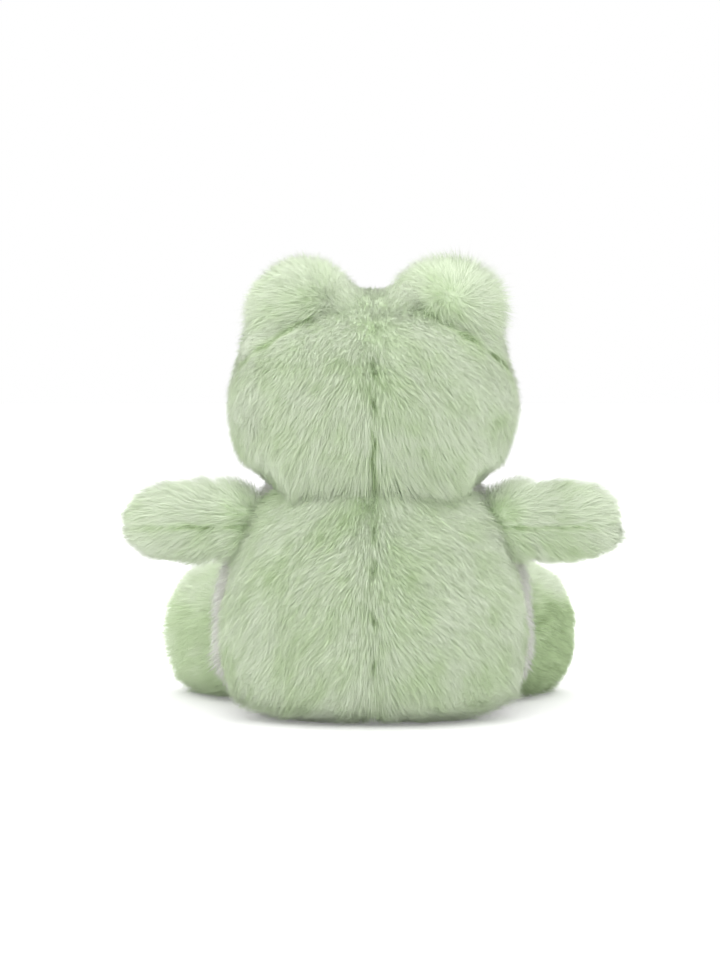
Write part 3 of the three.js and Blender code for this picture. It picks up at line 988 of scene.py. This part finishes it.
def make_trunk(body, form, neighbours, seed, comb_back, front_panel):
    """Sews the two back panels of the torso or the head to its front panel."""
    pile_sizes, seam = setting("pile"), setting(body).side_seam
    back, front = form.grown(-pile_sizes.inset), form.grown(-pile_sizes.short_inset)
    panel, backs = backing_halves(body, back, front, form.sizes[1], seam)
    if body == "torso":
        for backing in (panel, *backs.values()):
            cut_seats(backing, -SEAT_DEPTH)

    def in_view(points):
        return ~np.any([covered(points, poses) for poses in neighbours], axis=0)

    for side_name, side in SIDES.items():
        def on_back(points):
            return in_view(points) & (points[:, 1] > seam) & (side * points[:, 0] > 0)

        pile = Pile([back], pile_sizes.back_density, on_back, seed, side)
        comb_back(pile, side)
        node = f"{body}_back_{side_name}"
        finish_panel(backs[side_name], [back], pile, mint_material(), body, node, "mint_plush")
    node, density, comb, material, slot = front_panel
    pile = Pile([front], density, lambda points: in_view(points) & (points[:, 1] <= seam), seed + 3)
    comb(pile)
    finish_panel(panel, [front], pile, material, body, node, slot)


def make_torso():
    """Sews the belly panel and the torso's two back panels."""
    belly = ("belly_panel", setting("pile").belly_density, comb_belly, cream_material(), "cream_plush")
    make_trunk("torso", torso_form(), torso_neighbours(), 11, comb_torso_back, belly)


def make_head():
    """Sews the face panel and the head's two back panels."""
    face = ("face_panel", setting("pile").face_density, comb_face, mint_material(), "mint_plush")
    make_trunk("head", head_form(), head_neighbours(), 21, comb_head_back, face)


def comb_torso_back(pile, side):
    """Down and outwards from the centre seam, drawn in where the seam is stitched."""
    sizes = setting("torso")
    x, y, z = pile.root.T
    aside, seam = np.abs(x), sizes.side_seam
    outwards_share = rise(aside, 0, sizes.half_width)
    side_edge = rise(y, seam + 0.012, -0.012)
    slant = side * (0.45 if side == LEFT else 0.95)
    away = slant * (1 - bell(x, 0, 0.010) - 0.8 * outwards_share ** 2)
    pile.comb = columns(pile.count, away, 0.1 * outwards_share + 0.5 * side_edge, -1)
    under_head = rise(z, 0.106, 0.010) * (aside < 0.060)
    pile.length *= 1 - 0.35 * at_stitches(pile.root) - 0.25 * side_edge - 0.4 * under_head
    pile.change(under_head, low=22, high=8)
    shoulder = rise(y, seam + 0.0168, -0.012) * rise(z, 0.094, 0.006) * rise(aside, 0.040, 0.008)
    pile.comb_to(shoulder, (side, -0.4, 0.2))
    pile.change(shoulder, length=0.6)
    low_side = rise(y, seam + 0.0288, -0.024) * rise(z, 0.034, -0.014)
    pile.comb[:, 0] += side * 0.7 * low_side
    pile.change(low_side, length=0.35)
    # Painted shade: the torso's back panels are a little darker than the head's.
    pile.tint -= 0.05
    part_at_seam(pile, sizes.back_depth)
    pile.ruffle(turn=0.26)


def comb_belly(pile):
    """Short pile, down and outwards over the belly."""
    x, y, z = pile.root.T
    side_edge = rise(y, setting("torso").side_seam - 0.012, 0.012) * rise(z, 0.100, -0.010)
    pile.length[:] = setting("pile").short
    pile.comb = columns(pile.count, x * 8, 0.15 + 1.6 * side_edge, -1)
    # Painted light: the belly's pile is paler towards its side edges.
    pile.change(side_edge, length=0.35, low=-12, high=-10, tint=0.25, roundness=2.3)
    pile.change(side_edge * rise(z, 0.030, -0.008), length=-0.6)
    pile.change(side_edge * (x < 0), length=-0.45)
    pile.tint += 0.1
    pile.ruffle(turn=0.22)


def comb_head_back(pile, side):
    """Backwards over the crown, then down and a little outwards from the centre seam."""
    sizes = setting("head")
    x, _, z = pile.root.T
    aside, risen = np.abs(x), z - HEAD_AXIS[2]
    slant = side * (0.32 if side == LEFT else 0.60)
    away = slant * (1 - bell(x, 0, 0.008) - 0.4 * rise(aside, 0, sizes.half_width))
    pile.comb = columns(pile.count, away, rise(risen, 0, sizes.radius), -1)
    pile.change(at_stitches(pile.root), length=-0.35)
    # Painted light: the crown's pile is paler, for the light on top.
    pile.change(rise(risen, 0.012, 0.03), length=-0.42, low=12, high=6, tint=0.16)
    # Painted light lifts the shade in the corners between the crown and the bumps.
    corner = rise(aside, 0.003, 0.010) * rise(aside, 0.030, -0.005) * rise(risen, 0.042, 0.008)
    pile.comb_to(corner, (side, 0.35, 0))
    pile.change(corner, length=0.8, low=-35, high=-40, tint=0.35, roundness=0.8)
    pile.change(rise(risen, 0.045, 0.008), roundness=0.5)
    neck = rise(risen, -0.018, -0.016) * (1 - rise(aside, 0.040, 0.012))
    pile.change(neck, length=0.65, low=-8, high=-14)
    flatten_corner(pile)
    crease_bump(pile)
    part_at_seam(pile, sizes.radius)
    pile.ruffle(turn=0.28)


def flatten_corner(pile):
    """Flattens the pile where the head rounds in to the neck and to the bumps at its sides."""
    aside, risen = np.abs(pile.root[:, 0]), pile.root[:, 2] - HEAD_AXIS[2]
    flat = rise(risen, -0.024, -0.010) * rise(aside, 0.040, 0.012)
    flat += 0.6 * bell(risen, 0.022, 0.009) * rise(aside, 0.056, 0.008)
    pile.change(flat, length=-0.45, low=16, high=12)


def crease_bump(pile):
    """Parts the pile along the seam that sews an eye bump to the back of the head, and paints shade into the
    crease.
    """
    x, y, z = pile.root.T
    start, end = np.array(BUMP_CREASE)
    size = np.hypot(*(end - start))
    run = (end - start) / size
    off = np.stack((np.abs(x), z), axis=1) - start
    along = off @ run
    aside = off @ np.array((-run[1], run[0]))
    ends = rise(along, -0.004, 0.004) * rise(along, size + 0.010, -0.010) * (y > 0)
    broken = 0.75 + 0.25 * smooth_noise(pile.root, 0.012, 5) * (1 + 0.6 * (x < 0))
    near = bell(aside, 0, 0.0012) * ends * np.clip(broken, 0, 1)
    above = rise(aside, 0, 0.002) * bell(aside, 0, 0.010) * ends * (1 - rise(np.abs(x), 0.054, 0.010))
    pile.comb_to(above, columns(pile.count, 0.8 * np.sign(x), 0, -0.6))
    pile.length *= 1 - 0.25 * near + 0.10 * above
    pile.change(above, low=-10)
    # Painted shade along the crease.
    pile.tint -= 0.75 * near
    pile.root[:, 1] -= 0.0015 * near


def comb_face(pile):
    """Down and outwards from the brow, and backwards over the crown."""
    stray = 0.2 * pile.rng.normal(size=(pile.count, 3))
    pile.comb = away_from(pile.root, BROW, 0.016) + (0, 0.1, -0.1) + stray
    pile.length[:] = setting("pile").short
    pile.change(rise(pile.root[:, 2] - HEAD_AXIS[2], 0.030, 0.012), length=-0.3, low=30, high=10)
    edge = rise(pile.root[:, 1], setting("head").side_seam - 0.012, 0.012)
    pile.change(edge, roundness=2.3)
    pile.comb[:, 1] += 0.5 * edge
    flatten_corner(pile)
    pile.ruffle(turn=0.25)


# Eye bumps

def eye_back(side):
    """The middle of an eye's back, and the way that the eye looks."""
    s = setting("eye")
    low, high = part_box("left_eye" if side == LEFT else "right_eye")
    facing = np.array((side * math.sin(s.turn_out), -math.cos(s.turn_out), 0.0))
    middle = np.array(((low.x + high.x) / 2, low.y + s.dome_height, (low.z + high.z) / 2))
    return middle, facing


def roll_form(side):
    """The padded roll that an eye is drawn down on."""
    s = setting("eye")
    middle, facing = eye_back(side)
    centre = Vector(middle - facing * (s.roll_half_depth + 0.0003))
    place = Matrix.Translation(centre) @ Vector(facing).to_track_quat("Z", "Y").to_matrix().to_4x4()
    return even_form(s.roll_radius, s.roll_radius, s.roll_half_depth, PLUMP, place)


def make_eye_bumps():
    """Sews both eye bumps to the top corners of the head."""
    pile_sizes, keep_clear = setting("pile"), setting("eye").keep_clear
    head = head_form().grown(-pile_sizes.inset - 0.001)
    for side_name, side in SIDES.items():
        forms = [bump_form(side).grown(-pile_sizes.inset), roll_form(side)]
        backing = stuffed_ball("bump", forms[0], 40, 28)
        combine(backing, stuffed_ball("roll", forms[1], 32, 20), "UNION")
        combine(backing, stuffed_ball("head_room", head), "DIFFERENCE")
        eye, facing = eye_back(side)

        def in_view(points):
            ahead = (points - eye) @ facing
            aside = np.linalg.norm(points - eye - np.outer(ahead, facing), axis=1)
            return (head.level(points) > 1) & ~((aside < keep_clear) & (ahead > -0.0060))

        pile = Pile(forms, pile_sizes.back_density, in_view, 31 + side)
        comb_bump(pile, side, eye)
        node = f"{side_name}_eye_bump"
        finish_panel(backing, forms, pile, mint_material(), "head", node, "mint_plush")


def comb_bump(pile, side, eye):
    """Outwards from a whorl at the back, and from the eye at the front."""
    form, root = bump_form(side), pile.root
    centre, from_eye = form.place[:3, 3], unit_rows(root - eye)
    inwards, raised = (0.030, 0.010) if side == LEFT else (-0.006, 0.004)
    whorl = centre + (-side * inwards, form.sizes[1] * 0.8, raised)
    stray = 0.3 * pile.rng.normal(size=(pile.count, 3))
    pile.comb = away_from(root, whorl, 0.010) - 0.25 * UP + stray
    pile.comb_to(rise(root[:, 1], centre[1] + 0.008, -0.016), from_eye)
    near_eye = rise(np.linalg.norm(root - eye, axis=1), 0.018, -0.0075)
    pile.change(near_eye, length=-0.45)
    pile.comb += 2 * near_eye[:, None] * from_eye
    outer = rise(side * (root[:, 0] - centre[0]), 0.004, 0.012)
    if side == LEFT:
        # Painted light: the left bump's pile is paler, on the side that the light comes from.
        pile.tint += 0.08
        outer *= rise(root[:, 2], 0.208, -0.008)
    pile.change(outer, length=0.35, low=-8, high=-16)
    crease_bump(pile)
    pile.ruffle(turn=0.35)


# Limbs

def make_limbs(limb, comb, seam_normals, ends):
    """Sews a pair of limbs, each from two panels on a lengthwise seam."""
    pile_sizes = setting("pile")
    density = pile_sizes.back_density * (0.9 if limb == "arm" else 0.75)
    for side_name, side in SIDES.items():
        body = f"{side_name}_{limb}"
        joint = body + "_lift"
        forms = [form.grown(-pile_sizes.inset) for form in limb_forms(limb, side_name)]
        torso_poses = at_range([torso_form().grown(-COVER_DEPTH)], joint, -1)
        backing = stuffed_ball(limb, forms[0], 48, 32)
        combine(backing, stuffed_ball("ball", forms[1], 32, 24), "UNION")
        pivot = np.array(JOINTS[joint]["pos_m"])
        normal = seam_normals(side_name)
        for end, sign in zip(ends, (1, -1)):
            panel = copy_of(backing, limb + end)
            cut_away(panel, pivot, -sign * normal)

            def in_view(points):
                own = sign * (points - pivot) @ normal > 0
                return own & ~covered(points, torso_poses)

            pile = Pile(forms, density, in_view, 41 + side + 4 * sign + 10 * (limb == "leg"))
            comb(pile, side, np.array(limb_place(joint)))
            finish_panel(panel, forms, pile, mint_material(), body, body + end, "mint_plush")
        bpy.data.objects.remove(backing)


def comb_arm(pile, side, place):
    """Outwards along the arm, and away from the seam along its back, with painted light on top and painted
    shade below and in the seam.
    """
    outwards, pivot = place[:3, 2], place[:3, 3]
    risen = (pile.root[:, 2] - pivot[2]) / setting("arm").half_height
    along = (pile.root - pivot) @ outwards
    behind = pile.normal[:, 1] > 0
    inner = rise(along, 0.003, -0.015)
    pile.comb = outwards + np.outer(np.where(risen > 0, 0.30, 0.55) * risen - 0.14, UP)
    pile.comb_to(inner, 0.15 * UP + 0.8 * outwards)
    pile.comb -= np.outer(0.25 * bell(risen, 0.16, 0.10) * behind, UP)
    pile.change(inner, low=-8, roundness=1.5)
    pile.change(inner * rise(risen, 0.3, 0.4), low=-6, high=-6)
    pile.change(1 - 0.5 * rise(risen, 0.4, 0.4), low=8, high=6)
    pile.change(bell(risen, 0, 0.22), length=-0.25)
    seam = bell(risen, -0.06, 0.05) * behind * rise(along, 0.045, -0.012)
    seam *= np.clip(0.75 + 0.5 * smooth_noise(pile.root, 0.005, 8), 0, 1)
    # Painted light and shade: paler towards the top and darker below, as the light falls, and painted shade
    # in the crease along the back seam.
    pile.tint += 0.05 + 0.10 * risen - 0.55 * seam
    pile.depth += 0.0010 * seam
    pile.ruffle(turn=0.22)


def comb_leg(pile, side, place):
    """Outwards and down over the leg, with shade painted in behind and low down, where the torso shades it,
    and light painted on its top.
    """
    pile.comb = 0.8 * place[:3, 2] + (side * 0.25, 0.0, -0.55)
    if side == RIGHT:
        outer = rise(pile.normal[:, 0], -0.25, -0.625)
        pile.change(outer, length=-0.30, low=10, high=10)
    # Painted light and shade: the pile is darker behind and low down, the right leg more than the left, for
    # the torso's shadow, and paler higher up for the light on the leg's top. A limit keeps the painted shade
    # from going too dark.
    darker, painted_shade_limit = (0.31, 0.20) if side == LEFT else (0.65, 0.08)
    behind = np.clip(0.6 + pile.normal[:, 1], 0, 1) * (1 - 1.4 * rise(pile.root[:, 2], 0.045, 0.02))
    pile.tint -= darker * behind
    pile.ruffle(turn=0.28)
    pile.tint = np.maximum(pile.tint, painted_shade_limit)


# Inside

def make_stuffing():
    """Fills every form with fibre, and lays the pellet bag in its room in the torso's."""
    fibre, cotton = fibre_material(), cotton_material()
    rooms = {"torso_fill": ("torso", torso_form()), "head_fill": ("head", head_form())}
    for side_name, side in SIDES.items():
        rooms[f"{side_name}_eye_bump_fill"] = ("head", bump_form(side))
        for limb in ("arm", "leg"):
            rooms[f"{side_name}_{limb}_fill"] = (f"{side_name}_{limb}", limb_forms(limb, side_name)[0])
    for seed, (node, (body, form)) in enumerate(rooms.items()):
        stuffing = stuffed_ball(node.replace("_fill", "_stuffing"), form.grown(-STUFFING_DEPTH), 48, 32)
        lumpy(stuffing, 0.0008, 0.011, seed)
        if node in ("torso_fill", "head_fill"):
            draw_in_piece(stuffing, form.sizes[1])
        if node == "torso_fill":
            cut_seats(stuffing, SEAT_GAP)
            combine(stuffing, stuffed_ball("bag_room", bag_form().grown(BAG_GAP), 48, 32), "DIFFERENCE")
        if node.endswith("bump_fill"):
            combine(stuffing, stuffed_ball("head_room", head_form().grown(SEAT_GAP)), "DIFFERENCE")
        choose(stuffing)
        bpy.ops.object.shade_smooth_by_angle(angle=math.radians(40))
        stuffing.data.materials.append(fibre)
        dress(stuffing, body, "stuffing", node)
    bag = stuffed_ball("pellet_pouch", bag_form(), 64, 40)
    lumpy(bag, 0.0006, 0.005, 99)
    choose(bag)
    bpy.ops.object.shade_smooth()
    bag.data.materials.append(cotton)
    dress(bag, "torso", "bag_cloth", "pellet_bag")


def bag_form():
    """The pellet bag's form in its packed box."""
    low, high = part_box("pellet_bag")
    centre, half = (low + high) / 2, (high - low) / 2
    return even_form(half.x, half.y, half.z, PLUMP, Matrix.Translation(centre))


def lumpy(piece, height, size, seed):
    """Pushes a stuffed piece in by small lumps."""
    points = points_of(piece.data)
    normals = np.empty(points.size)
    piece.data.vertex_normals.foreach_get("vector", normals)
    points -= normals.reshape(-1, 3) * (height * (1 + smooth_noise(points, size, seed)))[:, None]
    piece.data.vertices.foreach_set("co", points.ravel())
    piece.data.update()


# Eyes and mouth

def make_eyes():
    """Rounds and smooths a copy of each packed eye, and gives the washers their nylon."""
    gloss, nylon = eye_material(), nylon_material()
    for side_name in SIDES:
        eye = copy_of(frame["nodes"][f"{side_name}_eye"], f"{side_name}_eye_button")
        eye.parent = None
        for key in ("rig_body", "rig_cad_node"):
            del eye[key]
        edit_whole(eye, bpy.ops.mesh.remove_doubles, threshold=0.00001)
        bevel = eye.modifiers.new("rim", "BEVEL")
        bevel.width = setting("eye").rim_round
        bevel.segments = 3
        bevel.limit_method = "ANGLE"
        bevel.angle_limit = math.radians(50)
        bpy.ops.object.modifier_apply(modifier=bevel.name)
        bpy.ops.object.shade_smooth_by_angle(angle=math.radians(45))
        dress(eye, "head", "eye_black", f"{side_name}_eye")
        washer = frame["nodes"][f"{side_name}_eye_washer"]
        for piece, material in ((eye, gloss), (washer, nylon)):
            piece.data.materials.clear()
            piece.data.materials.append(material)


def make_mouth():
    """A wide smile in backstitch, drawn down into the pile of the face."""
    sizes = setting("eye")
    across = np.linspace(-1, 1, 61)
    x = across * sizes.mouth_half_width
    z = -sizes.mouth_below - sizes.mouth_drop * (1 - across ** 2)
    surface = head_form().grown(-0.0012)
    full = surface.fullness[0]
    radius = surface.sizes[0] * (1 - np.abs(x / surface.sizes[3]) ** full) ** (1 / full)
    route = np.stack((x, -np.sqrt(radius ** 2 - z ** 2), z), axis=1) + HEAD_AXIS
    curve = bpy.data.curves.new("mouth_stitches", "CURVE")
    curve.dimensions = "3D"
    curve.bevel_depth = sizes.thread_radius
    curve.bevel_resolution = 3
    curve.use_fill_caps = True
    for first in range(0, len(route) - 1, 5):
        stitch = route[first:first + 6]
        spline = curve.splines.new("POLY")
        spline.points.add(len(stitch) - 1)
        spline.points.foreach_set("co", np.column_stack((stitch, np.ones(len(stitch)))).ravel())
    mouth = bpy.data.objects.new("mouth_stitches", curve)
    bpy.context.collection.objects.link(mouth)
    choose(mouth)
    bpy.ops.object.convert(target="MESH")
    bpy.ops.object.shade_smooth()
    mouth = bpy.context.object
    mouth.data.materials.clear()
    mouth.data.materials.append(thread_material())
    dress(mouth, "head", "eye_black")


# Stage

def make_stage():
    """Sets the camera, the lamps, the floor and the sky."""
    sizes, scene = setting("stage"), bpy.context.scene
    aim = Vector((sizes.aim_x, 0, sizes.aim_z))
    back = Vector((0, math.cos(sizes.elevation), math.sin(sizes.elevation)))
    camera_data = bpy.data.cameras.new("camera")
    camera_data.sensor_width = 36.0
    camera_data.lens = camera_data.sensor_width * sizes.distance / sizes.seen_height
    camera = bpy.data.objects.new("camera", camera_data)
    camera.location = aim + back * sizes.distance
    camera.rotation_euler = (-back).to_track_quat("-Z", "Y").to_euler()
    bpy.context.collection.objects.link(camera)
    scene.camera = camera

    add_lamp("key", (0.25, 0.75, 1.45), sizes.key_power, sizes.lamp_size)
    add_lamp("fill", (-0.3, -1.3, 0.9), sizes.fill_power, sizes.lamp_size)

    deselect_all()
    bpy.ops.mesh.primitive_plane_add(size=sizes.floor_side)
    floor = bpy.context.object
    floor.name = "floor"
    floor.data.materials.append(floor_material())

    scene.world = bpy.data.worlds.new("studio")
    recipe = Recipe(scene.world)
    path = recipe.node("ShaderNodeLightPath")
    camera_ray, glossy_ray = recipe.out(path, "Is Camera Ray"), recipe.out(path, "Is Glossy Ray")
    seen = camera_ray.math("MAXIMUM", camera_ray, glossy_ray)
    strength = recipe.node("ShaderNodeMix", None, {0: seen, 2: sizes.sky_strength, 3: 1.0})
    sky = recipe.tree.nodes["Background"]
    recipe.feed(sky.inputs["Color"], (1, 1, 1, 1))
    recipe.feed(sky.inputs["Strength"], recipe.out(strength))
    scene.view_settings.view_transform = "Standard"


def add_lamp(name, place, power, size):
    """A large soft lamp that looks at the frog."""
    data = bpy.data.lights.new(name, "AREA")
    data.energy = power
    data.size = size
    lamp = bpy.data.objects.new(name, data)
    lamp.location = place
    lamp.rotation_euler = (lamp.location - Vector((0, 0, 0.1))).to_track_quat("Z", "Y").to_euler()
    bpy.context.collection.objects.link(lamp)


def floor_material():
    """A pale floor that keeps the frog's shadow and is white elsewhere to the camera."""
    recipe = new_material("floor")
    recipe.surface_set(Base_Color=(0.85, 0.85, 0.85, 1), Roughness=0.9, Specular_IOR_Level=0.1)
    seen = recipe.out(recipe.node("ShaderNodeLightPath"), "Is Camera Ray")
    glow = recipe.node("ShaderNodeEmission", None, {"Color": (1, 1, 1, 1), "Strength": seen * 0.2})
    surfaces = {0: recipe.out(recipe.surface), 1: recipe.out(glow)}
    added = recipe.node("ShaderNodeAddShader", None, surfaces)
    recipe.feed(recipe.tree.nodes["Material Output"].inputs["Surface"], recipe.out(added))
    return recipe.owner


# Operators

class FROG_OT_torso(bpy.types.Operator):
    """Sew the belly and the two back panels and root their pile"""
    bl_idname = "frog.torso"
    bl_label = "Torso"

    def execute(self, context):
        make_torso()
        return {"FINISHED"}


class FROG_OT_head(bpy.types.Operator):
    """Sew the face and the two back panels of the head and root their pile"""
    bl_idname = "frog.head"
    bl_label = "Head"

    def execute(self, context):
        make_head()
        return {"FINISHED"}


class FROG_OT_eye_bumps(bpy.types.Operator):
    """Sew both eye bumps to the head"""
    bl_idname = "frog.eye_bumps"
    bl_label = "Eye bumps"

    def execute(self, context):
        make_eye_bumps()
        return {"FINISHED"}


class FROG_OT_arms(bpy.types.Operator):
    """Sew both arms, each from an upper and a lower panel"""
    bl_idname = "frog.arms"
    bl_label = "Arms"

    def execute(self, context):
        make_limbs("arm", comb_arm, lambda side_name: UP, ("_upper_panel", "_lower_panel"))
        return {"FINISHED"}


class FROG_OT_legs(bpy.types.Operator):
    """Sew both legs, each from an outer and an inner panel"""
    bl_idname = "frog.legs"
    bl_label = "Legs"

    def execute(self, context):
        def seam_normal(side_name):
            return -SIDES[side_name] * np.array(JOINTS[f"{side_name}_leg_lift"]["axis"])

        make_limbs("leg", comb_leg, seam_normal, ("_outer_panel", "_inner_panel"))
        return {"FINISHED"}


class FROG_OT_stuffing(bpy.types.Operator):
    """Fill every form with fibre and lay the pellet bag in the seat"""
    bl_idname = "frog.stuffing"
    bl_label = "Stuffing"

    def execute(self, context):
        make_stuffing()
        return {"FINISHED"}


class FROG_OT_eyes(bpy.types.Operator):
    """Set the glossy eyes and their washers"""
    bl_idname = "frog.eyes"
    bl_label = "Eyes"

    def execute(self, context):
        make_eyes()
        return {"FINISHED"}


class FROG_OT_threads(bpy.types.Operator):
    """Stitch the mouth"""
    bl_idname = "frog.threads"
    bl_label = "Threads"

    def execute(self, context):
        make_mouth()
        return {"FINISHED"}


class FROG_OT_stage(bpy.types.Operator):
    """Set the camera, the lamps, the floor and the sky"""
    bl_idname = "frog.stage"
    bl_label = "Stage"

    def execute(self, context):
        make_stage()
        return {"FINISHED"}


OPERATORS = (
    FROG_OT_stage,
    FROG_OT_torso,
    FROG_OT_head,
    FROG_OT_eye_bumps,
    FROG_OT_arms,
    FROG_OT_legs,
    FROG_OT_stuffing,
    FROG_OT_eyes,
    FROG_OT_threads,
)


class FROG_PT_sidebar(bpy.types.Panel):
    """Lists what the frog is made with"""
    bl_idname = "FROG_PT_sidebar"
    bl_label = "Plush frog"
    bl_space_type = "VIEW_3D"
    bl_region_type = "UI"
    bl_category = "Plush frog"

    def draw(self, context):
        for operator in OPERATORS:
            self.layout.operator(operator.bl_idname)


CLASSES = (*SETTINGS.values(), *OPERATORS, FROG_PT_sidebar)


def register():
    """Adds the settings, the operators and the panel to Blender."""
    for kind in CLASSES:
        bpy.utils.register_class(kind)
    for name, kind in SETTINGS.items():
        setattr(bpy.types.Scene, name, PointerProperty(type=kind))


def unregister():
    """Takes them out again."""
    for name in SETTINGS:
        delattr(bpy.types.Scene, name)
    for kind in reversed(CLASSES):
        bpy.utils.unregister_class(kind)


def main():
    """Builds the stage and the frog."""
    register()
    for operator in OPERATORS:
        getattr(bpy.ops.frog, operator.bl_idname.split(".")[1])()


if __name__ == "__main__":
    main()
